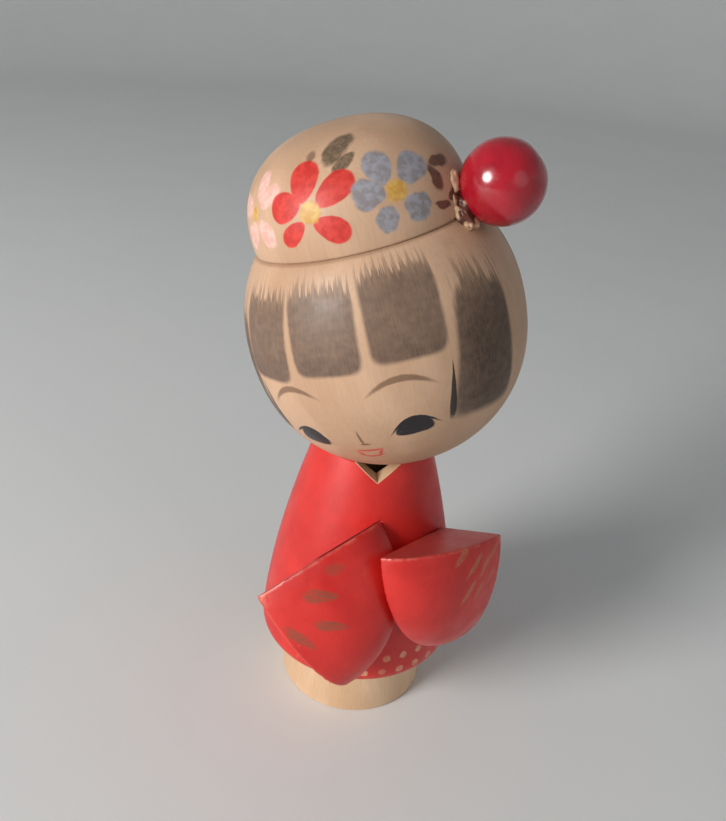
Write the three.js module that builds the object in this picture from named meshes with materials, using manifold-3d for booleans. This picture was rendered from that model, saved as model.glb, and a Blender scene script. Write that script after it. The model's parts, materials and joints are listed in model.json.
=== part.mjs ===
// A turned wooden kokeshi doll: one turned body with its foot, a turned ball head with a domed
// crown that leans on the body's collar, two sleeves sawn from one turned dome, and a drilled
// bead on the side of the hair. Dowels join the pieces. Millimetres, +Z up, the doll faces -Y,
// and the origin is the middle of the foot's flat underside.
import * as THREE from "three";
import { mergeVertices } from "three/addons/utils/BufferGeometryUtils.js";
import Module from "manifold-3d";

// ---- Driving dimensions, mm and degrees ----
const gap = 0.3; // glue line or running gap between two pieces that meet

const footRadius = 19.4; // at the floor
const footTopRadius = 18.1; // where the foot meets the robe
const footEdge = 0.5; // rounding of the foot's lower edge
const hemBottom = 16.3; // height of the robe's lower edge
const hemRadius = 25.8;
const hemRound = 3.6;
const collarHeight = 75.6;
const collarRadius = 14;
const collarWall = 3.2;
const collarDepth = 14; // depth of the hollow in the collar
const robePower = 1.6; // how late the robe's side turns inwards
const notchWidth = 11; // neckline V, across the top of the collar
const notchDepth = 4.4;

const ballRadius = 31.8;
const ballDrop = 0.8; // how much further the lower pole is from the ball's middle than its side
const ballRise = 0.3; // the same, for the upper pole that the crown covers
const ballPower = 2.15; // 2 is a true ball, more is squarer
const creaseHeight = 22.2; // above the ball's middle
const crownOverhang = 0.2; // from the crease out to the crown's widest
const crownLip = 2.6; // height of the crown's rounded lower edge
const crownHeight = 22.8; // from the crease to the top
const crownPower = 2.3;
const headTilt = 19;
const headTiltToward = 163; // 0 is +X, 90 is +Y
const faceTurn = -23; // the face about the head's own axis

const neckPegRadius = 4;
const neckPegInBody = 12;
const neckPegInHead = 15;

const beadRadius = 8.8;
const beadFlatRadius = 3; // the flat round each mouth of its hole
const beadStandoff = 1.4; // from the crease to the bead
const beadAround = 80; // where the bead's peg enters, from the face towards the doll's left
const beadPegAround = 110; // which way the peg points, counted in the same way
const beadPegRise = 26;
const beadPegRadius = 1.5;
const beadPegInHead = 9;
const beadPegShort = 1.1; // how far the peg ends inside the bead's outer hole

const domeRadius = 29.4; // the turned dome that is sawn in quarters for the sleeves
const domeHeight = 16.3;
const domePower = 1.9;
const sleevePegRadius = 2;
const sleevePegInSleeve = 7;
const sleevePegInBody = 7;
// around: the way the sleeve faces, from the doll's front towards its left.
// tipBack: how much more its flat back leans than the robe. rise: slope of its top edge.
// touchHeight: where its back meets the robe. seat: depth of the flat sanded for it.
// cornerOut, cornerUp: its sawn corner from that touching point, along its back.
// pegAlong, pegDown: its dowel from that corner.
const sleeves = [
  {
    name: "left_sleeve",
    peg: "left_sleeve_peg",
    hand: 1,
    around: 54.7,
    tipBack: 4.2,
    rise: 15.1,
    touchHeight: 54,
    seat: 0.2,
    cornerOut: 3.9,
    cornerUp: 0,
    pegAlong: 6,
    pegDown: 7,
  },
  {
    name: "right_sleeve",
    peg: "right_sleeve_peg",
    hand: -1,
    around: -26.3,
    tipBack: 8.3,
    rise: 46.4,
    touchHeight: 53,
    seat: 1.2,
    cornerOut: 11.2,
    cornerUp: -10.9,
    pegAlong: 13,
    pegDown: 6,
  },
];

const turns = 48; // facets round a turned piece
const pegFacets = 16;

// ---- Finishes ----
const paint = (color, roughness) =>
  new THREE.MeshStandardMaterial({ color, roughness, metalness: 0 });
const robeRed = paint(0xd23a2c, 0.45);
const bareWood = paint(0xc9a27c, 0.6);
const beadRed = paint(0xb01830, 0.2);
const dowelWood = paint(0xdcc49a, 0.7);

// ---- Solids ----
const wasm = await Module();
wasm.setup();

// The closed solid of a geometry, without the triangles that a pole folds flat.
function toSolid(geometry) {
  const bare = geometry.clone();
  bare.deleteAttribute("normal");
  bare.deleteAttribute("uv");
  const merged = mergeVertices(bare, 1e-4);
  const corners = Array.from(merged.index.array);
  const kept = [];
  for (let i = 0; i < corners.length; i += 3) {
    const [a, b, c] = corners.slice(i, i + 3);
    if (a !== b && b !== c && c !== a) kept.push(a, b, c);
  }
  return new wasm.Manifold(
    new wasm.Mesh({
      numProp: 3,
      vertProperties: new Float32Array(merged.attributes.position.array),
      triVerts: new Uint32Array(kept),
    }),
  );
}

function toMesh(name, solid, material) {
  const cut = solid.getMesh();
  const geometry = new THREE.BufferGeometry();
  const points = new Float32Array(cut.vertProperties);
  geometry.setAttribute("position", new THREE.BufferAttribute(points, 3));
  geometry.setIndex(new THREE.BufferAttribute(new Uint32Array(cut.triVerts), 1));
  geometry.computeVertexNormals();
  const mesh = new THREE.Mesh(geometry, material);
  mesh.name = name;
  return mesh;
}

// ---- Turning ----
const rad = THREE.MathUtils.degToRad;

// A blank turned about +Z from its outline of [radius, height], lowest point first.
function turned(outline, facets = turns) {
  const points = outline.map(([r, z]) => new THREE.Vector2(r, z));
  return new THREE.LatheGeometry(points, facets).rotateX(Math.PI / 2);
}

// Outline points from t = 0 to 1 along a curve that gives [radius, height].
function along(curve, steps) {
  return Array.from({ length: steps + 1 }, (_, i) => curve(i / steps));
}

// Radius at a height of a turned form that is `widest` in its middle and closes at `reach`.
function ovalRadius(height, widest, reach, power) {
  const share = Math.min(1, Math.abs(height / reach));
  return widest * (1 - share ** power) ** (1 / power);
}

function sphere(radius, facets = turns) {
  const curve = (t) => [radius * Math.sin(Math.PI * t), -radius * Math.cos(Math.PI * t)];
  return turned([[0, -radius], ...along(curve, facets / 2).slice(1, -1), [0, radius]], facets);
}

// A round bar along +Z between two heights, with its ends chamfered.
function bar(radius, low, high, chamfer) {
  const outline = [
    [0, low],
    [radius - chamfer, low],
    [radius, low + chamfer],
    [radius, high - chamfer],
    [radius - chamfer, high],
    [0, high],
  ];
  return turned(outline, pegFacets);
}

// A plain round hole to cut along +Z between two heights.
function hole(radius, low, high) {
  return turned([[0, low], [radius, low], [radius, high], [0, high]], pegFacets);
}

const pegChamfer = 0.5;
const through = 1; // how far a cut runs past the surface that it opens

// ---- Head: a turned ball with a domed crown above a crease, in the head's own frame ----
const ballBottom = ballRadius + ballDrop;
const ballTop = ballRadius + ballRise;
const creaseRadius = ovalRadius(creaseHeight, ballRadius, ballTop, ballPower);
const crownRadius = creaseRadius + crownOverhang;
const creaseAngle = Math.asin(creaseHeight / ballTop);

function lowerBall(t) {
  const height = -ballBottom * Math.cos((t * Math.PI) / 2);
  return [ovalRadius(height, ballRadius, ballBottom, ballPower), height];
}

function upperBall(t) {
  const height = ballTop * Math.sin(t * creaseAngle);
  return [ovalRadius(height, ballRadius, ballTop, ballPower), height];
}

function crownEdge(t) {
  const turn = (t * Math.PI) / 2;
  const out = (crownRadius - creaseRadius) * Math.sin(turn);
  return [creaseRadius + out, creaseHeight + crownLip * (1 - Math.cos(turn))];
}

const domeReach = crownHeight - crownLip;
function crownDome(t) {
  const height = domeReach * Math.sin((t * Math.PI) / 2);
  const radius = ovalRadius(height, crownRadius, domeReach, crownPower);
  return [radius, creaseHeight + crownLip + height];
}

const ballOutline = along(lowerBall, 11);
const headOutline = [
  ...ballOutline,
  ...along(upperBall, 5).slice(1),
  ...along(crownEdge, 3).slice(1),
  ...along(crownDome, 9).slice(1),
];
const ballReach = Math.max(...ballOutline.map(([r, z]) => Math.hypot(r, z)));

// The ball rests in the collar, so the collar sets the height of its middle.
const seatRadius = ballReach + gap;
const headHeight = collarHeight + Math.sqrt(seatRadius ** 2 - collarRadius ** 2);
const headGroup = new THREE.Group();
headGroup.position.set(0, 0, headHeight);
const tiltAxis = new THREE.Vector3(
  -Math.sin(rad(headTiltToward)),
  Math.cos(rad(headTiltToward)),
  0,
);
headGroup.quaternion
  .setFromAxisAngle(tiltAxis, rad(headTilt))
  .multiply(new THREE.Quaternion().setFromAxisAngle(new THREE.Vector3(0, 0, 1), rad(faceTurn)));
headGroup.updateMatrix();

// ---- Neck peg: glued in the body, upright, and the head turns on it ----
const collarFloor = collarHeight - collarDepth;
const neckPegLow = collarFloor - neckPegInBody;
const neckPegHigh = headHeight - ballReach + neckPegInHead;
const neckPeg = bar(neckPegRadius, neckPegLow, neckPegHigh, pegChamfer);
const neckBoreInHead = hole(neckPegRadius + gap, collarFloor, neckPegHigh + gap);
const neckBoreInBody = hole(neckPegRadius + gap, neckPegLow - gap, collarFloor + through);

// ---- Bead: drilled, on a peg from the crease, in a frame with +Z along the peg ----
// A level direction in the head's frame, counted from the face towards the doll's left.
function faceDirection(angle) {
  return new THREE.Vector3(Math.sin(rad(angle)), -Math.cos(rad(angle)), 0);
}

const beadPegDirection = faceDirection(beadPegAround)
  .multiplyScalar(Math.cos(rad(beadPegRise)))
  .add(new THREE.Vector3(0, 0, Math.sin(rad(beadPegRise))));
const beadReach = beadRadius + beadStandoff; // from the crease to the bead's middle
const beadGroup = new THREE.Group();
beadGroup.position
  .copy(faceDirection(beadAround).multiplyScalar(creaseRadius))
  .add(new THREE.Vector3(0, 0, creaseHeight))
  .addScaledVector(beadPegDirection, beadReach);
beadGroup.quaternion.setFromUnitVectors(new THREE.Vector3(0, 0, 1), beadPegDirection);
beadGroup.updateMatrix();

const beadFacets = 32;
const beadFlatHeight = Math.sqrt(beadRadius ** 2 - beadFlatRadius ** 2);
const beadFlatAngle = Math.asin(beadFlatHeight / beadRadius);

function beadSide(t) {
  const angle = (2 * t - 1) * beadFlatAngle;
  return [beadRadius * Math.cos(angle), beadRadius * Math.sin(angle)];
}

const beadOutline = [[0, -beadFlatHeight], ...along(beadSide, 14), [0, beadFlatHeight]];
const beadHole = hole(beadPegRadius + gap, -beadRadius, beadRadius);
const bead = toSolid(turned(beadOutline, beadFacets)).subtract(toSolid(beadHole));
const beadPegLow = -beadReach - beadPegInHead;
const beadPeg = bar(beadPegRadius, beadPegLow, beadFlatHeight - beadPegShort, pegChamfer);
const beadBore = hole(beadPegRadius + gap, beadPegLow - gap, 0);
const beadSeat = sphere(beadRadius + gap, beadFacets);
beadGroup.add(toMesh("bead", bead, beadRed));
beadGroup.add(toMesh("bead_peg", toSolid(beadPeg), dowelWood));

const head = toSolid(turned(headOutline))
  .subtract(toSolid(neckBoreInHead.applyMatrix4(headGroup.matrix.clone().invert())))
  .subtract(toSolid(beadBore.applyMatrix4(beadGroup.matrix)))
  .subtract(toSolid(beadSeat.applyMatrix4(beadGroup.matrix)));
headGroup.add(toMesh("head", head, bareWood), beadGroup);

// ---- Body: foot, robe and hollow collar, turned from one piece ----
const robeHeight = collarHeight - hemBottom;
const robeTop = collarHeight + through;
const hemArc = Math.min(hemRound, hemRadius - footTopRadius);

function robeRadius(height) {
  const share = Math.max(0, (height - hemBottom) / robeHeight);
  return hemRadius - (hemRadius - collarRadius) * share ** robePower;
}

// How far the robe's wall leans in from upright at a height, in degrees.
function robeLean(height) {
  const share = Math.max(0, (height - hemBottom) / robeHeight);
  const slope = ((hemRadius - collarRadius) / robeHeight) * robePower * share ** (robePower - 1);
  return THREE.MathUtils.radToDeg(Math.atan(slope));
}

function footCorner(t) {
  const turn = (t * Math.PI) / 2;
  return [footRadius - footEdge * (1 - Math.sin(turn)), footEdge * (1 - Math.cos(turn))];
}

function hemCorner(t) {
  const turn = (t * Math.PI) / 2;
  const height = hemBottom + hemArc * (1 - Math.cos(turn));
  return [robeRadius(height) - hemArc * (1 - Math.sin(turn)), height];
}

function robeSide(t) {
  const height = hemBottom + hemArc + t * (robeTop - hemBottom - hemArc);
  return [robeRadius(height), height];
}

const bodyOutline = [
  [0, 0],
  ...along(footCorner, 2),
  [footTopRadius, hemBottom],
  ...along(hemCorner, 4),
  ...along(robeSide, 9).slice(1),
  [0, robeTop],
];

// The neckline: a V cut straight through the front of the collar.
const notchRise = 2 * through;
const notchReach = (notchWidth / 2) * (1 + notchRise / notchDepth);
const notchOutline = new THREE.Shape([
  new THREE.Vector2(0, collarHeight - notchDepth),
  new THREE.Vector2(notchReach, collarHeight + notchRise),
  new THREE.Vector2(-notchReach, collarHeight + notchRise),
]);
const notch = new THREE.ExtrudeGeometry(notchOutline, { depth: collarRadius, bevelEnabled: false })
  .rotateX(Math.PI / 2)
  .translate(0, -(collarRadius - collarWall) / 2, 0);
const collarBore = turned([
  [0, collarFloor],
  [collarRadius - collarWall, collarFloor],
  [collarRadius - collarWall, robeTop + through],
  [0, robeTop + through],
]);

let body = toSolid(turned(bodyOutline))
  .subtract(toSolid(collarBore))
  .subtract(toSolid(notch))
  .subtract(toSolid(sphere(seatRadius).translate(0, 0, headHeight)))
  .subtract(toSolid(neckBoreInBody));

// ---- Sleeves: quarters of one turned dome, each with its flat back glued to the robe ----
// In a sleeve's frame its back is y = 0, its top is z = 0 and its sawn corner is the origin.
const domeOutline = [
  [0, 0],
  ...along((t) => {
    const height = domeHeight * Math.sin((t * Math.PI) / 2);
    return [ovalRadius(height, domeRadius, domeHeight, domePower), height];
  }, 10),
];

function sleeveMatrix(sleeve) {
  const turn = rad(sleeve.around - 90);
  const lean = rad(robeLean(sleeve.touchHeight) + sleeve.tipBack);
  const rise = rad(sleeve.rise);
  const level = new THREE.Vector3(Math.cos(turn), Math.sin(turn), 0);
  const up = new THREE.Vector3(0, 0, 1);
  const facing = level.clone().multiplyScalar(Math.cos(lean)).addScaledVector(up, Math.sin(lean));
  const outer = new THREE.Vector3().crossVectors(up, level).multiplyScalar(sleeve.hand);
  const slope = up.clone().multiplyScalar(Math.cos(lean)).addScaledVector(level, -Math.sin(lean));
  const inner = slope
    .clone()
    .multiplyScalar(Math.sin(rise))
    .addScaledVector(outer, -Math.cos(rise));
  const down = slope
    .clone()
    .multiplyScalar(-Math.cos(rise))
    .addScaledVector(outer, -Math.sin(rise));
  const corner = level
    .clone()
    .multiplyScalar(robeRadius(sleeve.touchHeight))
    .addScaledVector(up, sleeve.touchHeight)
    .addScaledVector(facing, -sleeve.seat)
    .addScaledVector(outer, sleeve.cornerOut)
    .addScaledVector(slope, sleeve.cornerUp);
  return new THREE.Matrix4()
    .makeBasis(inner.multiplyScalar(-sleeve.hand), facing, down)
    .setPosition(corner);
}

const doll = new THREE.Group();
for (const sleeve of sleeves) {
  const place = sleeveMatrix(sleeve);
  const side = -sleeve.hand; // the way its top edge runs along x
  const block = domeRadius + through;
  const quarter = new THREE.BoxGeometry(block, block, block);
  quarter.translate((side * block) / 2, block / 2, block / 2);
  const pegAt = [side * sleeve.pegAlong, 0, sleeve.pegDown];
  const upright = (geometry) => geometry.rotateX(-Math.PI / 2).translate(...pegAt);
  const peg = upright(bar(sleevePegRadius, -sleevePegInBody, sleevePegInSleeve, pegChamfer));
  const boreRadius = sleevePegRadius + gap;
  const sleeveBore = upright(hole(boreRadius, -through, sleevePegInSleeve + gap));
  const bodyBore = upright(hole(boreRadius, -sleevePegInBody - gap, sleeve.seat + through));
  const seat = new THREE.BoxGeometry(block, block, block);
  seat.translate((side * block) / 2 - side * gap, block / 2 - gap, block / 2 - gap);

  const solid = toSolid(turned(domeOutline).rotateX(-Math.PI / 2))
    .intersect(toSolid(quarter))
    .subtract(toSolid(sleeveBore));
  body = body
    .subtract(toSolid(seat.applyMatrix4(place)))
    .subtract(toSolid(bodyBore.applyMatrix4(place)));

  const group = new THREE.Group();
  group.applyMatrix4(place);
  group.add(toMesh(sleeve.name, solid, robeRed), toMesh(sleeve.peg, toSolid(peg), dowelWood));
  doll.add(group);
}

doll.add(toMesh("body", body, robeRed), toMesh("neck_peg", toSolid(neckPeg), dowelWood), headGroup);

export default doll;
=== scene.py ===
import json
import math

import bmesh
import bpy
from mathutils import Matrix, Vector, noise


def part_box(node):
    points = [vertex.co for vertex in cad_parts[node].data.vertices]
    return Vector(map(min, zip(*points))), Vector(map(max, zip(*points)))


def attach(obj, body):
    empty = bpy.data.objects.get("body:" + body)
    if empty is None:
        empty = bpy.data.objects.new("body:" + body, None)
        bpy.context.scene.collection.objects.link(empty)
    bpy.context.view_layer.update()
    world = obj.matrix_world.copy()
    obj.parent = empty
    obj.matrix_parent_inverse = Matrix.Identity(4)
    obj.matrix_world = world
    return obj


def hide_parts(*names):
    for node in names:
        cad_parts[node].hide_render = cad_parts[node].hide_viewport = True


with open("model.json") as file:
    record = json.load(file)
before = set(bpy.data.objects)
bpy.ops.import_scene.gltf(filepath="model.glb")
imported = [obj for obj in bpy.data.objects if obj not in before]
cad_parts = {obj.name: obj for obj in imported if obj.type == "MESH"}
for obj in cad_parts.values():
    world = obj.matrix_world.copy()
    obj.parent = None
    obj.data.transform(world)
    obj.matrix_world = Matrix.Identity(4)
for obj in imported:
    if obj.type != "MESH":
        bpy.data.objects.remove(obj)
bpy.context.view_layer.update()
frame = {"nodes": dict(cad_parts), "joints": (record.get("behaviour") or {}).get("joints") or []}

# ---- Body ----
# Foot, robe and hollow collar are turned from one billet of pale wood on the lathe. A V is sawn
# out of the front of the collar, flats are pared for the sleeves, and the robe is brushed with
# red lacquer down to the hem. The foot below it stays bare.
mm = 0.001
glue_gap = 0.3 * mm
weld = 0.001 * mm  # points closer than this are one point
sharp_corner = math.radians(32)
lathe_steps, robe_steps, seat_steps = 200, 44, 4

foot_radius, foot_top_radius, foot_edge = 19.4 * mm, 18.1 * mm, 0.5 * mm
hem_height, hem_radius, hem_round = 16.3 * mm, 25.8 * mm, 3.6 * mm
collar_height, collar_radius, collar_wall = 75.6 * mm, 14.0 * mm, 3.2 * mm
collar_floor, collar_edge = 61.6 * mm, 0.3 * mm
robe_power = 1.6  # how late the robe's side turns inwards
notch_width, notch_depth = 11.0 * mm, 4.4 * mm
head_middle = Vector(frame["joints"][0]["pos_m"])
neck_peg_low, neck_peg_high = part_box("neck_peg")
neck_bore_radius = (neck_peg_high.x - neck_peg_low.x) / 2 + glue_gap


def arc(middle, radius, start, end, steps):
    """Points of a round stretch of an outline, between two angles in degrees."""
    points = []
    for step in range(steps + 1):
        angle = math.radians(start + (end - start) * step / steps)
        points.append((middle[0] + radius * math.cos(angle), middle[1] + radius * math.sin(angle)))
    return points


def mark_corners(bm):
    """Keeps the shading of a bmesh from running smoothly over its sharp corners."""
    for edge in bm.edges:
        edge.smooth = len(edge.link_faces) == 2 and edge.calc_face_angle() < sharp_corner


def as_piece(name, bm):
    """A new object from a bmesh, smooth apart from its sharp corners."""
    mark_corners(bm)
    for face in bm.faces:
        face.smooth = True
    mesh = bpy.data.meshes.new(name)
    bm.to_mesh(mesh)
    bm.free()
    piece = bpy.data.objects.new(name, mesh)
    bpy.context.scene.collection.objects.link(piece)
    return piece


def spun(outline, angle=2 * math.pi, steps=lathe_steps):
    """A bmesh turned about Z from its outline of (radius, height)."""
    bm = bmesh.new()
    points = [bm.verts.new((radius, 0, height)) for radius, height in outline]
    edges = [bm.edges.new(pair) for pair in zip(points, points[1:])]
    full_turn = math.isclose(angle, 2 * math.pi)
    bmesh.ops.spin(bm, geom=points + edges, cent=(0, 0, 0), axis=(0, 0, 1), dvec=(0, 0, 0),
                   angle=angle, steps=steps, use_merge=full_turn)
    bmesh.ops.remove_doubles(bm, verts=bm.verts, dist=weld)
    bmesh.ops.recalc_face_normals(bm, faces=bm.faces)
    return bm


def settle(piece):
    """Makes a piece's live modifiers part of its mesh."""
    depsgraph = bpy.context.evaluated_depsgraph_get()
    mesh = bpy.data.meshes.new_from_object(piece.evaluated_get(depsgraph))
    piece.modifiers.clear()
    piece.data = mesh
    bm = bmesh.new()
    bm.from_mesh(mesh)
    bmesh.ops.remove_doubles(bm, verts=bm.verts, dist=2 * weld)
    bmesh.ops.dissolve_degenerate(bm, edges=bm.edges, dist=2 * weld)
    mark_corners(bm)
    bm.to_mesh(mesh)
    bm.free()


def carve(piece, *cutters):
    """Cuts the shapes of the cutters out of a piece and throws the cutters away."""
    for cutter in cutters:
        cut = piece.modifiers.new("cut", "BOOLEAN")
        cut.operation = "DIFFERENCE"
        cut.solver = "EXACT"
        cut.object = cutter
        settle(piece)
        bpy.data.objects.remove(cutter)


def grown(source, clearance=glue_gap):
    """A merged copy of a piece, larger all round by a clearance, to cut room for it."""
    bm = bmesh.new()
    bm.from_mesh(source.data)
    bmesh.ops.remove_doubles(bm, verts=bm.verts, dist=weld)
    bmesh.ops.recalc_face_normals(bm, faces=bm.faces)
    moves = []
    for vert in bm.verts:
        moves.append(vert.normal * clearance * vert.calc_shell_factor())
    for vert, move in zip(bm.verts, moves):
        vert.co += move
    return as_piece("room", bm)


def robe_radius(height):
    """Radius of the robe at a height above the hem."""
    share = max(0.0, (height - hem_height) / (collar_height - hem_height))
    return hem_radius - (hem_radius - collar_radius) * share**robe_power


def seat_height(radius):
    """Height of the rounded seat for the head at a distance from the middle."""
    reach = math.hypot(collar_radius, head_middle.z - collar_height)
    return head_middle.z - math.sqrt(reach**2 - radius**2)


body_outline = [(0, 0)]
body_outline += arc((foot_radius - foot_edge, foot_edge), foot_edge, -90, 0, 4)
body_outline += [(foot_top_radius, hem_height)]
hem_middle = hem_height + hem_round
body_outline += arc((robe_radius(hem_middle) - hem_round, hem_middle), hem_round, -90, 0, 10)
for step in range(1, robe_steps + 1):
    height = hem_middle + (collar_height - collar_edge - hem_middle) * step / robe_steps
    body_outline.append((robe_radius(height), height))
for step in range(seat_steps + 1):
    radius = collar_radius - collar_edge - (collar_wall - 2 * collar_edge) * step / seat_steps
    body_outline.append((radius, seat_height(radius)))
collar_inside = collar_radius - collar_wall
body_outline += [(collar_inside, seat_height(collar_inside) - collar_edge)]
body_outline += [(collar_inside, collar_floor), (neck_bore_radius, collar_floor)]
body_outline += [(neck_bore_radius, neck_peg_low.z - glue_gap), (0, neck_peg_low.z - glue_gap)]
body_piece = as_piece("turned_body", spun(body_outline))


def notch_wedge():
    """The V that is sawn out of the front of the collar."""
    bm = bmesh.new()
    over = 2 * mm
    half = notch_width / 2 * (1 + over / notch_depth)
    front, back = -collar_radius - over, -collar_inside / 2
    corners = [(0, collar_height - notch_depth), (half, collar_height + over)]
    corners += [(-half, collar_height + over)]
    face = bm.faces.new([bm.verts.new((x, front, z)) for x, z in corners])
    pushed = bmesh.ops.extrude_face_region(bm, geom=[face])["geom"]
    moved = [item for item in pushed if isinstance(item, bmesh.types.BMVert)]
    bmesh.ops.translate(bm, verts=moved, vec=(0, back - front, 0))
    bmesh.ops.recalc_face_normals(bm, faces=bm.faces)
    return as_piece("wedge", bm)


carve(body_piece, notch_wedge())
for glued_on in ("left_sleeve", "right_sleeve", "left_sleeve_peg", "right_sleeve_peg"):
    carve(body_piece, grown(frame["nodes"][glued_on]))


class Finish:
    """A finish being mixed: a material and the wiring of its shader, in millimetres."""

    def __init__(self, name, roughness, coat=0.0, coat_roughness=0.1, specular=0.5):
        self.material = bpy.data.materials.new(name)
        self.material.use_nodes = True
        self.tree = self.material.node_tree
        self.shader = self.tree.nodes["Principled BSDF"]
        self.shader.inputs["Coat Weight"].default_value = coat
        self.shader.inputs["Coat Roughness"].default_value = coat_roughness
        self.shader.inputs["Specular IOR Level"].default_value = specular
        self.shader.inputs["Roughness"].default_value = roughness
        place = self.node("TexCoord").outputs["Object"]
        self.place = self.node("VectorMath", {0: place, "Scale": 1000}, operation="SCALE").outputs[0]

    def node(self, kind, inputs=None, **settings):
        made = self.tree.nodes.new("ShaderNode" + kind)
        for name, value in settings.items():
            setattr(made, name, value)
        for name, value in (inputs or {}).items():
            self.join(value, made.inputs[name])
        return made

    def join(self, value, socket):
        if isinstance(value, bpy.types.NodeSocket):
            self.tree.links.new(value, socket)
        else:
            socket.default_value = value

    def sum(self, operation, *values):
        inputs = dict(enumerate(values))
        return self.node("Math", inputs, operation=operation).outputs[0]

    def within(self, value, low, high, start=0.0, end=1.0):
        """Rises smoothly from start at low to end at high."""
        inputs = {"Value": value, "From Min": low, "From Max": high, "To Min": start, "To Max": end}
        return self.node("MapRange", inputs, interpolation_type="SMOOTHSTEP").outputs[0]

    def grain(self, size, stretch=(1, 1, 1), detail=3, place=None, colour=False):
        """Cloudy noise whose lumps are about size millimetres, longer where stretch is larger."""
        scales = [1 / (size * s) for s in stretch]
        inputs = {0: place or self.place, 1: scales}
        spread = self.node("VectorMath", inputs, operation="MULTIPLY").outputs[0]
        inputs = {"Vector": spread, "Scale": 1.0, "Detail": detail, "Roughness": 0.55}
        made = self.node("TexNoise", inputs)
        return made.outputs["Color" if colour else "Fac"]

    def lay(self, share, under, over, blend="MIX"):
        """One colour laid over another."""
        inputs = {0: share, 6: under, 7: over}
        settings = {"data_type": "RGBA", "blend_type": blend}
        return self.node("Mix", inputs, **settings).outputs[2]

    def relief(self, height, distance, strength, under=None):
        """A bump of a height map; distance is in millimetres."""
        inputs = {"Height": height, "Distance": distance * mm, "Strength": strength}
        if under:
            inputs["Normal"] = under
        return self.node("Bump", inputs).outputs[0]

    def set(self, name, value):
        self.join(value, self.shader.inputs[name])

    def dress(self, *pieces):
        for piece in pieces:
            piece.data.materials.clear()
            piece.data.materials.append(self.material)


def rgb(red, green, blue):
    """A colour from its screen values, 0 to 255."""
    linear = []
    for value in (red, green, blue):
        part = value / 255
        linear.append(part / 12.92 if part <= 0.04045 else ((part + 0.055) / 1.055) ** 2.4)
    return (*linear, 1.0)


def wood_colour(finish, place, light, dark, lines):
    """Plain turned wood: slow changes of tone, long fine grain and a few darker lines."""
    tone = finish.grain(14, (1, 1, 2.5), 2, place)
    tone = finish.within(tone, 0.35, 0.65)
    colour = finish.lay(tone, dark, light)
    fibre = finish.grain(0.5, (1, 1, 18), 3, place)
    fibre = finish.within(fibre, 0.42, 0.68, 0.0, lines)
    dull = finish.lay(1.0, dark, rgb(205, 190, 178), "MULTIPLY")
    return finish.lay(fibre, colour, dull)


def lacquer(finish, place, worn):
    """Red lacquer brushed thin over wood; worn is where it has rubbed away."""
    red = finish.lay(finish.within(finish.grain(11, detail=4, place=place), 0.35, 0.68),
                     rgb(200, 30, 24), rgb(216, 42, 34))
    strokes = finish.within(finish.grain(0.45, (1, 1, 22), 4, place), 0.5, 0.8, 0.0, 0.28)
    red = finish.lay(strokes, red, rgb(176, 24, 20))
    specks = finish.within(finish.grain(0.7, detail=1, place=place), 0.74, 0.79, 0.0, 0.5)
    red = finish.lay(specks, red, rgb(110, 18, 16))
    return finish.lay(worn, red, rgb(222, 142, 120))


robe = Finish("robe_lacquer", 0.42, coat=0.15, coat_roughness=0.35)
x, y, z = robe.node("SeparateXYZ", {0: robe.place}).outputs
round_the_body = robe.sum("ARCTAN2", x, robe.sum("MULTIPLY", y, -1.0))
from_axis = robe.sum("SQRT", robe.sum("ADD", robe.sum("MULTIPLY", x, x), robe.sum("MULTIPLY", y, y)))
rubbed = robe.within(robe.grain(2.4, detail=5), 0.66, 0.8, 0.0, 0.35)
robe_red = lacquer(robe, robe.place, rubbed)

# Two rows of cream dots run round the front of the hem, each a single touch of the brush.
dots_round, dots_from_axis = 34, 25.6
dot_width, dot_tallness, dot_wobble = 1.1, 1.05, 0.9
dots_middle, dots_reach = math.radians(21), math.radians(61)
dot_step = 2 * math.pi / dots_round
dots = None
for dot_height, start in ((20.5, 0.7), (24.6, 2.6)):
    turned = robe.sum("SUBTRACT", round_the_body, math.radians(start) - dot_step / 2)
    share = robe.sum("FRACT", robe.sum("DIVIDE", turned, dot_step))
    share = robe.sum("FRACT", robe.sum("ADD", share, 1.0))
    across = robe.sum("MULTIPLY", robe.sum("SUBTRACT", share, 0.5), dots_from_axis * dot_step / dot_width)
    up = robe.sum("DIVIDE", robe.sum("SUBTRACT", z, dot_height), dot_tallness)
    off = robe.sum("SQRT", robe.sum("ADD", robe.sum("MULTIPLY", across, across),
                                    robe.sum("MULTIPLY", up, up)))
    wobble = robe.sum("MULTIPLY", robe.sum("SUBTRACT", robe.grain(1.2), 0.5), dot_wobble)
    off = robe.sum("ADD", off, wobble)
    dot = robe.within(off, 0.7, 1.15, 1.0, 0.0)
    dots = dot if dots is None else robe.sum("MAXIMUM", dots, dot)
faded = robe.within(robe.grain(3), 0.35, 0.65, 0.35, 0.8)
off_middle = robe.sum("ABSOLUTE", robe.sum("SUBTRACT", round_the_body, dots_middle))
faded = robe.sum("MULTIPLY", faded, robe.sum("LESS_THAN", off_middle, dots_reach))
robe_red = robe.lay(robe.sum("MULTIPLY", dots, faded), robe_red, rgb(228, 178, 140))

bare = wood_colour(robe, robe.place, rgb(228, 194, 158), rgb(214, 176, 138), 0.16)
ragged_hem = robe.sum("ADD", z, robe.sum("MULTIPLY", robe.sum("SUBTRACT", robe.grain(1.5), 0.5), 0.5))
painted = robe.within(ragged_hem, hem_height / mm - 0.05, hem_height / mm + 0.15)
robe_colour = robe.lay(painted, bare, robe_red)

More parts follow.
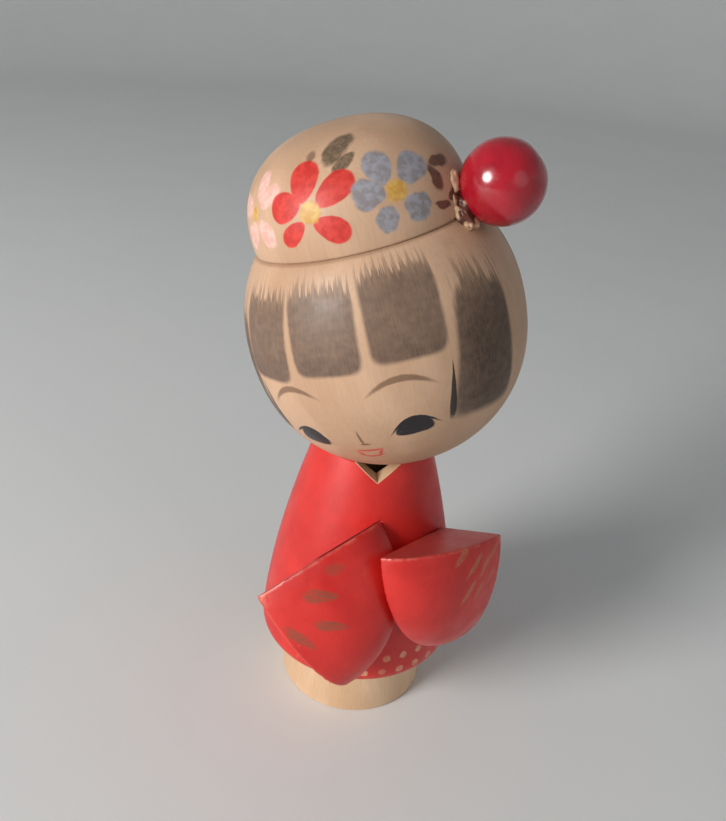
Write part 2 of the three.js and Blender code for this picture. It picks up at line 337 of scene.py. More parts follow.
# The sawn faces of the V show bare wood, and the hollow behind them is coloured near-black as painted
# shade.
notch_slope = notch_width / 2 / notch_depth
beside = robe.sum("SUBTRACT", robe.sum("ABSOLUTE", x),
                  robe.sum("MULTIPLY", robe.sum("SUBTRACT", z, (collar_height - notch_depth) / mm),
                           notch_slope))
sawn = robe.within(robe.sum("ABSOLUTE", beside), 0.1, 0.3, 1.0, 0.0)
sawn = robe.sum("MULTIPLY", sawn, robe.sum("GREATER_THAN", z, (collar_height - notch_depth) / mm - 0.3))
sawn = robe.sum("MULTIPLY", sawn, robe.sum("LESS_THAN", y, 0.0))
robe_colour = robe.lay(sawn, robe_colour, bare)
# Painted shade: the inside of the hollow collar is coloured dark brown.
hollow_shade = robe.within(from_axis, collar_inside / mm + 0.02, collar_inside / mm + 0.25, 1.0, 0.0)
hollow_shade = robe.sum("MULTIPLY", hollow_shade, robe.sum("GREATER_THAN", z, collar_floor / mm - 0.5))
robe_colour = robe.lay(hollow_shade, robe_colour, rgb(44, 26, 22))

robe.set("Base Color", robe_colour)
dull = robe.within(robe.grain(6, detail=4), 0.3, 0.75, 0.36, 0.52)
robe.set("Roughness", robe.lay(painted, (0.62, 0.62, 0.62, 1), dull))
tool_rings = robe.grain(0.9, (40, 40, 1), 3)
ridges = robe.relief(tool_rings, 0.05, 0.5)
robe.set("Normal", robe.relief(robe.grain(0.5, (1, 1, 16), 3), 0.03, 0.5, ridges))
robe.dress(body_piece)
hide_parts("body")
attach(body_piece, "body")

# ---- Dowels ----
# Plain hardwood dowels. One stands in the collar for the head to turn on, two locate the sleeves
# while their glue sets, and a thin one holds the bead. Each is cut to length and chamfered.
dowel = Finish("dowel_wood", 0.6)
dowel.set("Base Color", wood_colour(dowel, dowel.place, rgb(222, 196, 152), rgb(196, 162, 116), 0.5))
dowel.set("Normal", dowel.relief(dowel.grain(0.3, (1, 1, 14), 3), 0.04, 0.6))
for node_name in ("neck_peg", "left_sleeve_peg", "right_sleeve_peg", "bead_peg"):
    dowel.dress(frame["nodes"][node_name])

# ---- Sleeves ----
# One dome is turned and sawn into quarters, and two of them make the sleeves. Each lies with its
# flat back on the robe, glued over a dowel. They are lacquered like the robe after sawing and
# rubbed pale along the edges, and their sawn tops are tinted grey-pink as a painted reflection.
dome_radius, dome_height, dome_power = 29.4 * mm, 16.3 * mm, 1.9
sleeve_steps, sleeve_voxel, sleeve_sanding = 60, 0.3 * mm, 9
same_way = 0.9995  # least cosine between two faces that belong to one flat


def sawn_corner(node_name):
    """The sawn corner of a CAD sleeve, and the ways its top edge, its front and its drop run."""
    flats = []
    for face in frame["nodes"][node_name].data.polygons:
        alike = [flat for flat in flats if flat["normal"].dot(face.normal) > same_way]
        if not alike:
            alike = [{"normal": face.normal.copy(), "area": 0.0, "reach": -1.0}]
            flats += alike
        alike[0]["area"] += face.area
        alike[0]["reach"] = max(alike[0]["reach"], face.center.dot(alike[0]["normal"]))
    back, *cuts = sorted(flats, key=lambda flat: -flat["area"])[:3]
    top, side = sorted(cuts, key=lambda flat: -flat["normal"].z)
    planes = (back, top, side)
    sides = Matrix([flat["normal"] for flat in planes])
    corner = sides.inverted() @ Vector([flat["reach"] for flat in planes])
    return corner, -side["normal"], -back["normal"], -top["normal"]


def sleeve_surface(along, down):
    """How far the dome stands out from the back, at a place along and down from the corner."""
    share = min(1.0, math.hypot(along, down) / dome_radius)
    return dome_height * (1 - share**dome_power) ** (1 / dome_power)


def ease(piece, voxel, rounds):
    """Rounds every edge of a piece a little, as sanding does, on an even mesh."""
    remesh = piece.modifiers.new("even_mesh", "REMESH")
    remesh.mode = "VOXEL"
    remesh.voxel_size = voxel
    remesh.use_smooth_shade = True
    eased = piece.modifiers.new("eased_edges", "SMOOTH")
    eased.factor = 0.5
    eased.iterations = rounds
    settle(piece)


def sleeve_blank(name, corner, along, out, down):
    """A quarter of the turned dome, put in its place, its sawn edges eased with fine paper."""
    outline = [(0, 0)]
    for step in range(sleeve_steps + 1):
        height = dome_height * math.sin(math.pi / 2 * step / sleeve_steps)
        radius = dome_radius * (1 - (height / dome_height) ** dome_power) ** (1 / dome_power)
        outline.append((radius, height))
    bm = spun(outline, math.pi / 2, sleeve_steps)
    origin = min(bm.verts, key=lambda vert: vert.co.length)
    pole = max(bm.verts, key=lambda vert: vert.co.z)
    axis = bm.edges.new((origin, pole))
    for flat in (0, 1):
        rim = [edge for edge in bm.edges if edge.is_boundary or edge == axis]
        rim = [edge for edge in rim if all(abs(vert.co[flat]) < weld for vert in edge.verts)]
        bmesh.ops.edgeloop_fill(bm, edges=rim)
    place = Matrix((along, down, out)).transposed().to_4x4()
    place.translation = corner
    bmesh.ops.transform(bm, matrix=place, verts=bm.verts)
    bmesh.ops.recalc_face_normals(bm, faces=bm.faces)
    piece = as_piece(name, bm)
    ease(piece, sleeve_voxel, sleeve_sanding)
    return piece


def brush_group():
    """One touch of the brush, as a node group: how much paint a point takes, from 0 to 1.

    The touch runs along its own x. Taper widens it towards +x, Bend curves it, Squareness is 2
    for a round touch and more for a block, and Ends draws its +x end out into bristle marks."""
    group = bpy.data.node_groups.new("brush_touch", "ShaderNodeTree")
    made = group.interface
    for name in ("Place", "Middle", "Turn", "Size"):
        made.new_socket(name, in_out="INPUT", socket_type="NodeSocketVector")
    for name in ("Taper", "Bend", "Squareness", "Softness", "Ends"):
        made.new_socket(name, in_out="INPUT", socket_type="NodeSocketFloat")
    made.new_socket("Paint", in_out="OUTPUT", socket_type="NodeSocketFloat")
    given = group.nodes.new("NodeGroupInput").outputs
    result = group.nodes.new("NodeGroupOutput").inputs

    def step(operation, *values):
        node = group.nodes.new("ShaderNodeMath")
        node.operation = operation
        for socket, value in zip(node.inputs, values):
            if isinstance(value, bpy.types.NodeSocket):
                group.links.new(value, socket)
            else:
                socket.default_value = value
        return node.outputs[0]

    place = group.nodes.new("ShaderNodeMapping")
    place.vector_type = "TEXTURE"
    for socket, name in zip(place.inputs, ("Place", "Middle", "Turn", "Size")):
        group.links.new(given[name], socket)
    parts = group.nodes.new("ShaderNodeSeparateXYZ")
    group.links.new(place.outputs[0], parts.inputs[0])
    along, across, deep = parts.outputs
    shifted = step("SUBTRACT", along, step("MULTIPLY", step("MAXIMUM", along, 0.0), given["Ends"]))
    curved = step("SUBTRACT", across, step("MULTIPLY", given["Bend"], step("MULTIPLY", along, along)))
    width = step("MAXIMUM", step("ADD", 1.0, step("MULTIPLY", given["Taper"], along)), 0.05)
    curved = step("DIVIDE", curved, width)
    powers = [step("POWER", step("ABSOLUTE", part), given["Squareness"]) for part in (shifted, curved)]
    reach = step("POWER", step("ADD", *powers), step("DIVIDE", 1.0, given["Squareness"]))
    reach = step("MAXIMUM", reach, step("ABSOLUTE", deep))
    fade = group.nodes.new("ShaderNodeMapRange")
    fade.interpolation_type = "SMOOTHSTEP"
    group.links.new(reach, fade.inputs["Value"])
    group.links.new(step("SUBTRACT", 1.0, given["Softness"]), fade.inputs["From Min"])
    group.links.new(step("ADD", 1.0, given["Softness"]), fade.inputs["From Max"])
    fade.inputs["To Min"].default_value = 1.0
    fade.inputs["To Max"].default_value = 0.0
    dry = step("MULTIPLY", step("MAXIMUM", step("SUBTRACT", along, 0.72), 0.0), given["Ends"])
    wet = step("MAXIMUM", step("SUBTRACT", 1.0, step("MULTIPLY", dry, 3.2)), 0.15)
    group.links.new(step("MULTIPLY", fade.outputs[0], wet), result["Paint"])
    return group


brush = brush_group()


def touch(finish, place, spot, length, width, taper=0.0, bend=0.0, square=2.0, soft=0.08, ends=0.0,
          deep=12.0):
    """The paint of one touch. spot is its middle and the directions along, across and outwards;
    length and width are in millimetres."""
    middle, along, across, out = spot
    turn = Matrix((along, across, out)).transposed().to_euler("XYZ")
    inputs = {"Place": place, "Middle": middle / mm, "Turn": turn, "Taper": taper, "Bend": bend}
    inputs.update({"Size": (length / 2, width / 2, deep), "Squareness": square, "Ends": ends})
    inputs["Softness"] = soft
    made = finish.node("Group", node_tree=brush)
    for name, value in inputs.items():
        finish.join(value, made.inputs[name])
    return made.outputs["Paint"]


def most(finish, paints):
    """Several touches that run together."""
    whole = paints[0]
    for paint in paints[1:]:
        whole = finish.sum("MAXIMUM", whole, paint)
    return whole


def unsteady(finish, amount, size=1.6, detail=3):
    """The place, shaken a little so that a painted edge isn't ruled."""
    shake = finish.grain(size, detail=detail, colour=True)
    shake = finish.node("VectorMath", {0: shake, 1: (0.5, 0.5, 0.5)}, operation="SUBTRACT").outputs[0]
    inputs = {0: shake, 1: (amount, amount, amount), 2: finish.place}
    return finish.node("VectorMath", inputs, operation="MULTIPLY_ADD").outputs[0]


# Each touch is a place along the top edge and down from it, a length, a width, a slope, a strength.
sleeve_touches = {
    "right_sleeve": (
        (18.6, 3.8, 4.0, 2.6, 20, 0.5), (12.8, 7.4, 7.6, 2.9, 34, 0.8),
        (10.7, 14.4, 7.0, 2.4, 40, 0.8), (3.2, 13.3, 8.2, 2.4, 68, 0.8),
    ),
    "left_sleeve": (
        (15.4, 2.0, 5.4, 1.9, 47, 0.6), (11.2, 5.2, 6.6, 1.5, 50, 0.85), (7.4, 6.2, 6.0, 1.2, 56, 0.8),
        (3.8, 3.2, 4.6, 1.3, 45, 0.7), (11.8, 11.6, 6.2, 1.3, 60, 0.85), (8.2, 12.2, 4.6, 1.1, 60, 0.7),
        (4.2, 9.4, 4.4, 1.0, 62, 0.6),
    ),
}
touch_colours = {"right_sleeve": rgb(124, 76, 52), "left_sleeve": rgb(188, 122, 84)}
for node_name, touches in sleeve_touches.items():
    corner, along, out, down = sawn_corner(node_name)
    sleeve = sleeve_blank(node_name + "_turned", corner, along, out, down)
    carve(sleeve, grown(frame["nodes"][node_name + "_peg"]))
    red_coat = Finish(node_name + "_lacquer", 0.42, coat=0.15, coat_roughness=0.35)
    offset = red_coat.node("VectorMath", {0: red_coat.place, 1: corner / mm}, operation="SUBTRACT")
    own = [red_coat.node("VectorMath", {0: offset.outputs[0], 1: way}, operation="DOT_PRODUCT")
           for way in (along, down, out)]
    own_along, own_down, own_out = [made.outputs["Value"] for made in own]
    own_place = red_coat.node("CombineXYZ", {0: own_along, 1: own_out, 2: own_down}).outputs[0]

    scuffs = red_coat.grain(2.6, detail=4)
    top_edge = red_coat.sum("MULTIPLY", red_coat.within(own_down, 0.25, 1.1, 1.0, 0.0),
                            red_coat.within(own_down, 0.06, 0.2))
    side_edge = red_coat.within(own_along, 0.25, 0.9, 1.0, 0.0)
    eased = red_coat.sum("MULTIPLY", top_edge, red_coat.within(scuffs, 0.42, 0.6))
    worn = red_coat.sum("MAXIMUM", red_coat.sum("MULTIPLY", eased, 0.34),
                        red_coat.sum("MULTIPLY", side_edge, 0.2))
    worn = red_coat.sum("MAXIMUM", worn, red_coat.within(scuffs, 0.68, 0.8, 0.0, 0.4))
    tip = red_coat.sum("SQRT", red_coat.sum("ADD", red_coat.sum("MULTIPLY", own_along, own_along),
                                            red_coat.sum("MULTIPLY", own_down, own_down)))
    handled = red_coat.sum("MULTIPLY", red_coat.within(tip, 0.4, 4.5, 0.8, 0.0),
                           red_coat.within(red_coat.grain(1.5, detail=4), 0.4, 0.62))
    colour = lacquer(red_coat, own_place, red_coat.sum("MAXIMUM", worn, handled))
    # Painted reflection: the flat sawn top is tinted a paler grey-pink, as if it caught the light.
    top_face_reflection = red_coat.within(own_down, 0.05, 0.3, 0.5, 0.0)
    colour = red_coat.lay(top_face_reflection, colour, rgb(170, 82, 74))

    shaken = unsteady(red_coat, 1.0)
    dry = red_coat.within(red_coat.grain(0.4, (9, 1, 1), 3), 0.34, 0.62, 0.45, 1.0)
    for at_along, at_down, length, width, slope, strength in touches:
        lift = sleeve_surface(at_along * mm, at_down * mm)
        middle = corner + along * at_along * mm + down * at_down * mm + out * lift
        angle = math.radians(slope)
        way = along * math.cos(angle) + down * math.sin(angle)
        cross = out.cross(way).normalized()
        paint = touch(red_coat, shaken, (middle, way, cross, way.cross(cross)), length, width,
                      taper=-0.25, soft=0.28, deep=6)
        share = red_coat.sum("MULTIPLY", paint, red_coat.sum("MULTIPLY", dry, strength))
        colour = red_coat.lay(share, colour, touch_colours[node_name])
    red_coat.set("Base Color", colour)
    red_coat.set("Roughness", red_coat.within(red_coat.grain(5, detail=4), 0.3, 0.75, 0.34, 0.54))
    red_coat.set("Normal", red_coat.relief(red_coat.grain(0.6, (5, 1, 1), 3, own_place), 0.05, 0.5))
    red_coat.dress(sleeve)
    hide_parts(node_name)
    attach(sleeve, "body")

# ---- Bead ----
# A drilled wooden bead, dipped in crimson lacquer until it shines. It sits on its peg against the
# hair bun, and the old glue that holds it has squeezed out round its seat.
bead_low, bead_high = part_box("bead")
peg_low, peg_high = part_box("bead_peg")
bead_middle = (bead_low + bead_high) / 2
peg_way = (bead_middle - (peg_low + peg_high) / 2).normalized()
bead_radius, bead_flat_radius, bead_bore_radius = 8.8 * mm, 3.0 * mm, 1.8 * mm
bead_lip, bead_steps = 0.35 * mm, 64
flat_in, flat_rise, mouth_rise = 0.5 * mm, 0.12 * mm, 0.05 * mm
bead_flat = math.sqrt(bead_radius**2 - bead_flat_radius**2)
flat_angle = math.degrees(math.asin(bead_flat / bead_radius))
bead_place = peg_way.to_track_quat("Z", "Y").to_matrix().to_4x4()
bead_place.translation = bead_middle

bead_outline = arc((0, 0), bead_radius, -flat_angle, flat_angle, bead_steps)
bead_outline += [(bead_flat_radius - flat_in, bead_flat + flat_rise)]
bead_outline += [(bead_bore_radius + bead_lip, bead_flat + mouth_rise)]
bead_outline += arc((bead_bore_radius + bead_lip, bead_flat - bead_lip), bead_lip, 90, 180, 5)
bead_outline += [(radius, -height) for radius, height in reversed(bead_outline[bead_steps + 1:])]
bead_outline.append(bead_outline[0])
bead_bm = spun(bead_outline, steps=128)
bmesh.ops.transform(bead_bm, matrix=bead_place, verts=bead_bm.verts)
bead_piece = as_piece("lacquered_bead", bead_bm)

crimson = Finish("bead_lacquer", 0.2, coat=0.5, coat_roughness=0.1)
depth = crimson.within(crimson.grain(5, detail=3), 0.3, 0.7)
bead_colour = crimson.lay(depth, rgb(152, 10, 30), rgb(176, 16, 38))
dust = crimson.within(crimson.grain(0.35, detail=2), 0.68, 0.76, 0.0, 0.25)
crimson.set("Base Color", crimson.lay(dust, bead_colour, rgb(210, 120, 120)))
crimson.set("Roughness", crimson.within(crimson.grain(3, detail=4), 0.3, 0.75, 0.18, 0.32))
crimson.set("Normal", crimson.relief(crimson.grain(1.4, detail=2), 0.05, 0.25))
crimson.dress(bead_piece)
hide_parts("bead")
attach(bead_piece, "head")

# ---- Head ----
# A ball with a domed bun above a scored crease, turned in one piece and bored at a slant, so it
# leans on its peg. It is left bare and waxed, and the hair, the face and the flowers are brushed
# straight on the wood.
ball_radius, ball_bottom, ball_top, ball_power = 31.8 * mm, 32.6 * mm, 32.1 * mm, 2.15
crease_height, crown_overhang, crown_lip = 22.2 * mm, 0.2 * mm, 2.6 * mm
crown_height, crown_power = 22.8 * mm, 2.3
crease_depth = 0.3 * mm
lower_steps, upper_steps, lip_steps, dome_steps = 48, 24, 8, 44
head_lean, head_lean_towards, face_turn = 19, 163, -23  # degrees; 0 is +X and 90 is +Y

lean = math.radians(head_lean)
towards = math.radians(head_lean_towards)
lean_axis = Vector((-math.sin(towards), math.cos(towards), 0))
head_place = Matrix.Translation(head_middle) @ Matrix.Rotation(lean, 4, lean_axis)
head_place = head_place @ Matrix.Rotation(math.radians(face_turn), 4, "Z")


def oval_radius(height, widest, reach, power):
    """Radius of a squarish oval at a height, from its widest radius and its half height."""
    share = min(1.0, abs(height / reach))
    return widest * (1 - share**power) ** (1 / power)


crease_radius = oval_radius(crease_height, ball_radius, ball_top, ball_power)
crown_radius = crease_radius + crown_overhang
dome_reach = crown_height - crown_lip


def head_radius(height):
    """Radius of the head at a height above the ball's middle."""
    if height < 0:
        return oval_radius(height, ball_radius, ball_bottom, ball_power)
    if height < crease_height:
        return oval_radius(height, ball_radius, ball_top, ball_power)
    if height < crease_height + crown_lip:
        return crown_radius
    return oval_radius(height - crease_height - crown_lip, crown_radius, dome_reach, crown_power)


head_outline = []
for step in range(lower_steps + 1):
    height = -ball_bottom * math.cos(math.pi / 2 * step / lower_steps)
    head_outline.append((head_radius(height), height))
crease_angle = math.asin((crease_height - crease_depth) / ball_top)
for step in range(1, upper_steps + 1):
    height = ball_top * math.sin(crease_angle * step / upper_steps)
    head_outline.append((head_radius(height), height))
head_outline.append((crease_radius - crease_depth, crease_height))
head_outline.append((crease_radius, crease_height + crease_depth))
for step in range(1, lip_steps + 1):
    height = crease_height + crease_depth + (crown_lip - crease_depth) * step / lip_steps
    swell = crown_overhang * math.sin(math.pi / 2 * step / lip_steps)
    head_outline.append((crease_radius + swell, height))
for step in range(1, dome_steps + 1):
    height = crease_height + crown_lip + dome_reach * math.sin(math.pi / 2 * step / dome_steps)
    head_outline.append((head_radius(height), height))
head_bm = spun(head_outline)
bmesh.ops.transform(head_bm, matrix=head_place, verts=head_bm.verts)
head_piece = as_piece("turned_head", head_bm)
carve(head_piece, grown(frame["nodes"]["neck_peg"]), grown(frame["nodes"]["bead"]),
      grown(frame["nodes"]["bead_peg"]))

painted_wood = Finish("painted_wood", 0.5, coat=0.06, coat_roughness=0.45, specular=0.4)
turn_back = head_place.to_euler("XYZ")
inputs = {"Vector": painted_wood.place, "Location": head_middle / mm, "Rotation": turn_back}
upright = painted_wood.node("Mapping", inputs, vector_type="TEXTURE").outputs[0]
head_x, head_y, head_z = painted_wood.node("SeparateXYZ", {0: upright}).outputs
around = painted_wood.sum("ARCTAN2", head_x, painted_wood.sum("MULTIPLY", head_y, -1.0))
colour = wood_colour(painted_wood, upright, rgb(208, 170, 140), rgb(193, 155, 125), 0.12)
# Painted shade: the bare wood is darkened for a little way on each side of the crease.
above_crease = painted_wood.sum("SUBTRACT", head_z, crease_height / mm)
crease_shade = painted_wood.within(painted_wood.sum("ABSOLUTE", above_crease), 0.1, 0.7, 0.4, 0.0)
colour = painted_wood.lay(crease_shade, colour, rgb(120, 86, 62))
stain = painted_wood.within(painted_wood.grain(9, detail=4), 0.56, 0.76, 0.0, 0.3)
colour = painted_wood.lay(stain, colour, rgb(172, 130, 98))


def on_head(around_face, height, turn):
    """A place on the head and the ways along, across and outwards of a touch there.

    around_face is degrees from the middle of the face to the doll's left, height is millimetres
    above the ball's middle, and turn is degrees from upwards to the doll's left."""
    height *= mm
    angle = math.radians(around_face)
    outwards = Vector((math.sin(angle), -math.cos(angle), 0))
    sideways = Vector((math.cos(angle), math.sin(angle), 0))
    slope = (head_radius(height + 0.2 * mm) - head_radius(height - 0.2 * mm)) / (0.4 * mm)
    upwards = (Vector((0, 0, 1)) + outwards * slope).normalized()
    out = sideways.cross(upwards)
    turned = math.radians(turn)
    along = upwards * math.cos(turned) + sideways * math.sin(turned)
    middle = head_place @ (outwards * head_radius(height) + Vector((0, 0, height)))
    ways = [head_place.to_3x3() @ way for way in (along, out.cross(along), out)]
    return (middle, *ways)


def brush_lines(round_scale, height_scale, detail, roughness):
    """Fine lines that run up and down the head, as the hairs of the brush leave them."""
    spread = {0: painted_wood.sum("MULTIPLY", around, round_scale), 1: 0.0,
              2: painted_wood.sum("MULTIPLY", head_z, height_scale)}
    place = painted_wood.node("CombineXYZ", spread).outputs[0]
    inputs = {"Vector": place, "Scale": 1.0, "Detail": detail, "Roughness": roughness}
    return painted_wood.node("TexNoise", inputs).outputs["Fac"]


def brushed(paint, strength, under, pigment):
    """The colour under a touch of paint, with the pigment over it."""
    return painted_wood.lay(painted_wood.sum("MULTIPLY", paint, strength), under, pigment)


steady = unsteady(painted_wood, 0.35)
loose = unsteady(painted_wood, 1.5, 2.6, 1)

# The hair is a thin grey-brown wash in broad downward strokes, dry and bristly at their tops.
frayed = painted_wood.within(brush_lines(34.0, 0.05, 3.0, 0.6), 0.38, 0.66, -0.03, 0.4)
streak = brush_lines(85.0, 0.3, 4.0, 0.65)
blotch = painted_wood.grain(2.2, (1, 1, 0.7), 4, upright)

fringe = ((-33.6, 7.9, 0, 14.6, 17.2), (-3.0, 9.2, 0, 14.9, 16.6), (29.2, 10.2, 3, 15.6, 17.4))
locks = [(59.2, -2.8, 7, 15.6, 27.2), (-59.2, -2.8, -7, 15.6, 27.2)]
locks += [(angle, 0.5, 0, 17.0, 30.0) for angle in (118, 150, 182, 214, 246)]
washes = []
for *spot, width, length in fringe:
    washes.append(touch(painted_wood, steady, on_head(*spot), length, width, taper=-0.02,
                         square=6.0, soft=0.07, ends=frayed))
for *spot, width, length in locks:
    washes.append(touch(painted_wood, steady, on_head(*spot), length, width, taper=-0.1,
                         square=6.0, soft=0.1, ends=frayed))
hair = most(painted_wood, washes)
density = painted_wood.sum("ADD", painted_wood.within(streak, 0.3, 0.7, 0.78, 0.9),
                           painted_wood.within(blotch, 0.3, 0.7, -0.06, 0.04))
pooled = painted_wood.within(head_z, 1.5, 8.0, 0.07, 0.0)
hair_share = painted_wood.sum("MULTIPLY", hair, painted_wood.sum("ADD", density, pooled))
sides = painted_wood.within(painted_wood.sum("ABSOLUTE", around), 0.75, 0.95)
hair_colour = painted_wood.lay(sides, rgb(98, 78, 66), rgb(72, 54, 43))
colour = painted_wood.lay(hair_share, colour, hair_colour)

# Brows, eyes, nose and mouth are a few fine touches each, almost alike on the face's two sides.
brow_spots = ((22.0, -1.7, 91, 13.4, -3.4), (-24.0, -2.2, -98, 12.8, 3.6))
brows = [touch(painted_wood, steady, on_head(*spot), length, 1.45, bend=bend, soft=0.3)
         for *spot, length, bend in brow_spots]
colour = brushed(most(painted_wood, brows), 0.78, colour, rgb(112, 80, 58))
eye_paint = []
for side, around_face, height, turn, length, width in ((1, 23.6, -13.5, 86, 8.2, 4.9),
                                                       (-1, -23.2, -14.6, -77, 7.4, 5.7)):
    eye_paint.append(touch(painted_wood, steady, on_head(around_face, height, turn), length, width,
                           taper=0.12, bend=-0.45 * side, soft=0.06))
    eye_paint.append(touch(painted_wood, steady, on_head(around_face, height + 2.1, turn),
                           length + 2.2, 1.1, bend=-6.2 * side, soft=0.2))
eyes = most(painted_wood, eye_paint)
colour = brushed(eyes, 0.98, colour, rgb(14, 13, 24))
strands = [touch(painted_wood, steady, on_head(41.2 * side, -8.2, 187 * side), 13.4, 1.25,
                 taper=0.75, soft=0.15, square=2.6) for side in (1, -1)]
loose_hair = most(painted_wood, strands)
colour = brushed(loose_hair, 0.93, colour, rgb(20, 17, 20))
nose = [touch(painted_wood, steady, on_head(0.0, -14.8, 178), 4.8, 0.62, taper=0.35, soft=0.3),
        touch(painted_wood, steady, on_head(1.3, -16.8, 92), 2.4, 0.6, taper=-0.5, soft=0.3)]
colour = brushed(most(painted_wood, nose), 0.8, colour, rgb(104, 74, 54))
mouth = [touch(painted_wood, steady, on_head(*spot), length, 0.72, bend=bend, soft=0.35)
         for spot, length, bend in (((1.1, -19.0, 88), 6.4, 0.8), ((5.4, -19.9, 207), 2.8, 0.6),
                                    ((0.5, -21.3, 90), 5.4, 2.4), ((-4.3, -20.1, -24), 2.6, 0.6))]
colour = brushed(most(painted_wood, mouth), 0.9, colour, rgb(206, 66, 58))

# Flowers on the bun: petals pressed down with a full brush, then yellow centres on all but the rust
# one. A petal is its middle (degrees round, millimetres up), length, width, and the way its tip points.
petals_of = {
    "pink": (((-36.5, 37.0), 7.0, 4.2, -8), ((-28.0, 35.4), 6.6, 3.8, 56), ((-30.5, 28.6), 6.6, 4.6, 140),
             ((-44.5, 28.0), 6.8, 4.6, -140), ((-52.0, 33.5), 6.6, 4.4, -80)),
    "red": (((-4.0, 37.4), 8.9, 6.1, 6), ((12.8, 35.1), 9.3, 5.5, 58), ((8.6, 28.2), 7.8, 4.9, 119),
            ((-11.4, 28.3), 6.6, 3.8, -125), ((-15.2, 33.4), 7.4, 6.0, -95)),
    "silver": (((37.6, 36.8), 7.4, 5.6, 8), ((55.0, 34.9), 7.4, 6.0, 58), ((28.6, 32.7), 6.4, 5.8, -82),
               ((34.8, 27.4), 5.2, 4.6, -140), ((50.6, 27.8), 5.8, 5.4, 122)),
    "rust": (((66.4, 31.6), 5.8, 2.8, 172), ((74.0, 34.2), 6.0, 2.8, 96), ((65.5, 26.2), 4.8, 1.5, 108),
             ((76.0, 27.4), 5.0, 2.2, 70)),
}
leaves = [touch(painted_wood, loose, on_head(17.5, 41.5, 36), 9.4, 4.6, soft=0.16, bend=-0.1),
          touch(painted_wood, loose, on_head(19.8, 38.9, 50), 6.2, 2.7, soft=0.16, bend=-0.2)]
veins = painted_wood.within(painted_wood.grain(0.8, (1, 1, 3), 3), 0.35, 0.65, 0.72, 0.92)
colour = brushed(most(painted_wood, leaves), veins, colour, rgb(88, 74, 56))
pigments = {
    "pink": (rgb(228, 172, 160), rgb(240, 196, 188), 0.72, 0.14),
    "red": (rgb(196, 32, 26), rgb(214, 52, 44), 0.96, 0.07),
    "silver": (rgb(128, 127, 133), rgb(150, 154, 166), 0.88, 0.12),
    "rust": (rgb(70, 34, 28), rgb(98, 50, 38), 0.86, 0.22),
}
centres = (((-41.0, 32.2), 3.0), ((-1.0, 31.9), 4.2), ((42.4, 31.9), 4.4))
clouds = painted_wood.within(painted_wood.grain(1.6, detail=4), 0.38, 0.62)
thickness = []
for flower, petals in petals_of.items():
    dark, light, strength, soft = pigments[flower]
    shaken = steady if flower == "red" else loose
    paints = []
    for (round_head, height), length, width, turn in petals:
        paints.append(touch(painted_wood, shaken, on_head(round_head, height, turn), length, width,
                            taper=0.22, soft=soft))
    petal_paint = most(painted_wood, paints)
    colour = brushed(petal_paint, strength, colour, painted_wood.lay(clouds, dark, light))
    if flower == "red":
        thickness.append(petal_paint)
        bud = touch(painted_wood, loose, on_head(-2.0, 41.0, 10), 3.0, 2.0, soft=0.3)
        colour = brushed(bud, 0.6, colour, rgb(86, 42, 30))
yellow = painted_wood.lay(clouds, rgb(200, 146, 44), rgb(216, 172, 76))
for (round_head, height), size in centres:
    centre = touch(painted_wood, loose, on_head(round_head, height, 0), size, size, soft=0.2)
    thickness.append(centre)
    colour = brushed(centre, 0.85, colour, yellow)

painted_wood.set("Base Color", colour)
matt = painted_wood.within(painted_wood.grain(4, detail=4), 0.3, 0.75, 0.42, 0.58)
wet_black = painted_wood.sum("MAXIMUM", eyes, loose_hair)
painted_wood.set("Roughness", painted_wood.sum("SUBTRACT", matt,
                                               painted_wood.sum("MULTIPLY", wet_black, 0.16)))
rings = painted_wood.grain(0.8, (40, 40, 1), 3, upright)
skin = painted_wood.relief(rings, 0.04, 0.5)
skin = painted_wood.relief(painted_wood.grain(0.4, (1, 1, 16), 3, upright), 0.03, 0.5, skin)
film = painted_wood.sum("ADD", most(painted_wood, thickness), wet_black)
painted_wood.set("Normal", painted_wood.relief(film, 0.05, 0.6, skin))
painted_wood.dress(head_piece)
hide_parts("head")
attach(head_piece, "head")

# ---- Glue ----
# The glue that holds the bead to the bun. It has run out round the bead's seat in lumps, and more
# was left on the bun beside it. It has set hard and tan, with brown dirt in it.
seat = bead_middle - peg_way * (bead_radius + 0.9 * mm)
seat_ways = [bead_place.to_3x3().col[number] for number in range(3)]
lumps = [((seat, *seat_ways), (4.0, 4.0, 2.2)), (on_head(80, 28.6, 8), (3.0, 1.8, 0.9)),
         (on_head(75.5, 25.0, 0), (2.0, 1.3, 0.6)), (on_head(86, 26.5, 60), (2.6, 1.8, 0.9))]
glue_bm = bmesh.new()
for (lump_middle, *ways), sizes in lumps:
    made = bmesh.ops.create_icosphere(glue_bm, subdivisions=5, radius=1.0)["verts"]
    for vert in made:
        lumpy = 1 + 0.3 * noise.noise(vert.co * 1.7 + lump_middle / mm)
        vert.co = Vector([part * size * lumpy * mm for part, size in zip(vert.co, sizes)])
    turn = Matrix(ways).transposed().to_4x4()
    bmesh.ops.transform(glue_bm, verts=made, matrix=Matrix.Translation(lump_middle) @ turn)
glue = as_piece("bead_glue", glue_bm)
glue_voxel, glue_rounds, film_gap = 0.14 * mm, 6, 0.04 * mm
ease(glue, glue_voxel, glue_rounds)
carve(glue, grown(head_piece, film_gap), grown(bead_piece, film_gap),
      grown(frame["nodes"]["bead_peg"], film_gap))
set_glue = Finish("set_glue", 0.34, specular=0.4)
dirt = set_glue.within(set_glue.grain(3.2, detail=3), 0.46, 0.6)
set_glue.set("Base Color", set_glue.lay(dirt, rgb(214, 176, 142), rgb(92, 50, 38)))
set_glue.set("Normal", set_glue.relief(set_glue.grain(1.0, detail=2), 0.1, 0.5))
set_glue.dress(glue)
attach(glue, "head")

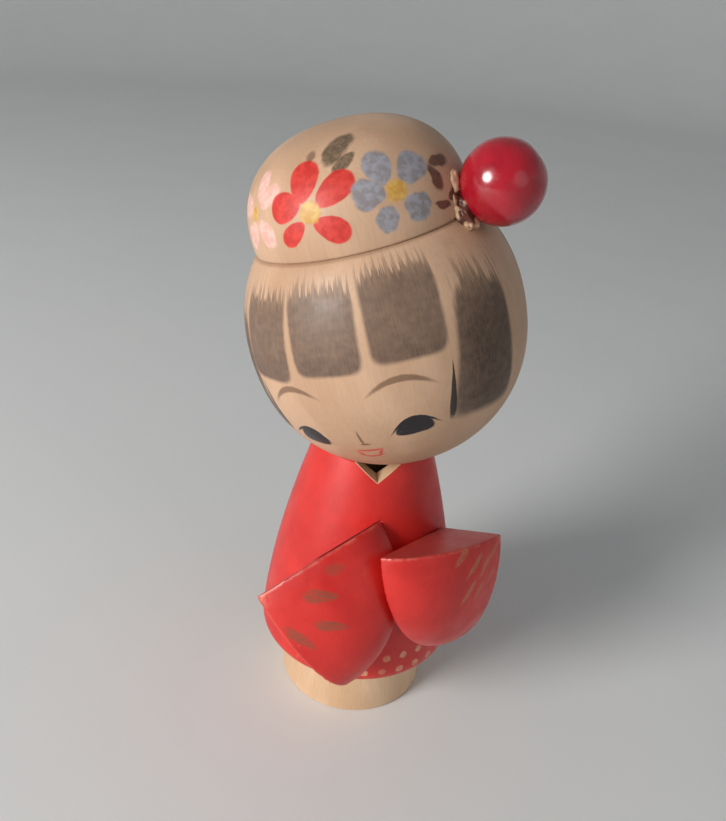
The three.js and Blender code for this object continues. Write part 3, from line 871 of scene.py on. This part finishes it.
# ---- Floor, light and camera ----
# A plain pale floor that curves up all round, one broad soft light low on the doll's front right,
# a weak one from its left, and a camera that looks down on the doll from close by.
floor_radius, floor_curve, floor_rim = 1.5, 0.5, 0.8
floor_drop = 0.05 * mm  # so that the foot doesn't lie in the floor's own surface
floor_line = [(0, 0)] + arc((floor_radius - floor_curve, floor_curve), floor_curve, -90, 0, 24)
floor_line += [(floor_radius, floor_rim)]
floor_bm = spun(floor_line, steps=96)
bmesh.ops.translate(floor_bm, verts=floor_bm.verts, vec=(0, 0, -floor_drop))
floor = as_piece("floor", floor_bm)
paper = Finish("pale_paper", 0.85)
paper.set("Base Color", paper.lay(paper.grain(60, detail=3), rgb(228, 229, 229), rgb(234, 234, 232)))
paper.dress(floor)

middle = Vector((0, 0, 0.078))


def soft_light(name, place, size, power, tint):
    """A round light that faces the doll, its size in metres and its power in watts."""
    data = bpy.data.lights.new(name, "AREA")
    data.shape = "DISK"
    data.size = size
    data.energy = power
    data.color = tint
    light = bpy.data.objects.new(name, data)
    light.location = place
    light.rotation_euler = (middle - Vector(place)).to_track_quat("-Z", "Y").to_euler()
    bpy.context.scene.collection.objects.link(light)


soft_light("window", (-0.8, -0.5, 0.42), 0.42, 9.6, (1.0, 0.99, 0.97))
soft_light("room", (0.55, -0.8, 0.5), 0.7, 0.6, (0.97, 0.98, 1.0))
world = bpy.data.worlds.new("pale_room")
world.use_nodes = True
world.node_tree.nodes["Background"].inputs["Color"].default_value = rgb(214, 219, 222)
world.node_tree.nodes["Background"].inputs["Strength"].default_value = 0.3
bpy.context.scene.world = world
bpy.context.scene.view_settings.view_transform = "Standard"

camera_place = Vector((-23.7, -179.3, 182.0)) * mm
camera_heading, camera_drop, camera_roll = 6.5, 29.0, 5.4  # degrees
camera_lens = 37.3  # millimetres
heading = math.radians(camera_heading)
drop = math.radians(camera_drop)
ahead = Vector((math.sin(heading), math.cos(heading), 0)) * math.cos(drop)
ahead.z = -math.sin(drop)
data = bpy.data.cameras.new("camera")
data.lens = camera_lens
data.clip_start = 0.01
camera = bpy.data.objects.new("camera", data)
turned = ahead.to_track_quat("-Z", "Y").to_matrix() @ Matrix.Rotation(math.radians(camera_roll), 3, "Z")
camera.matrix_world = Matrix.Translation(camera_place) @ turned.to_4x4()
bpy.context.scene.collection.objects.link(camera)
bpy.context.scene.camera = camera
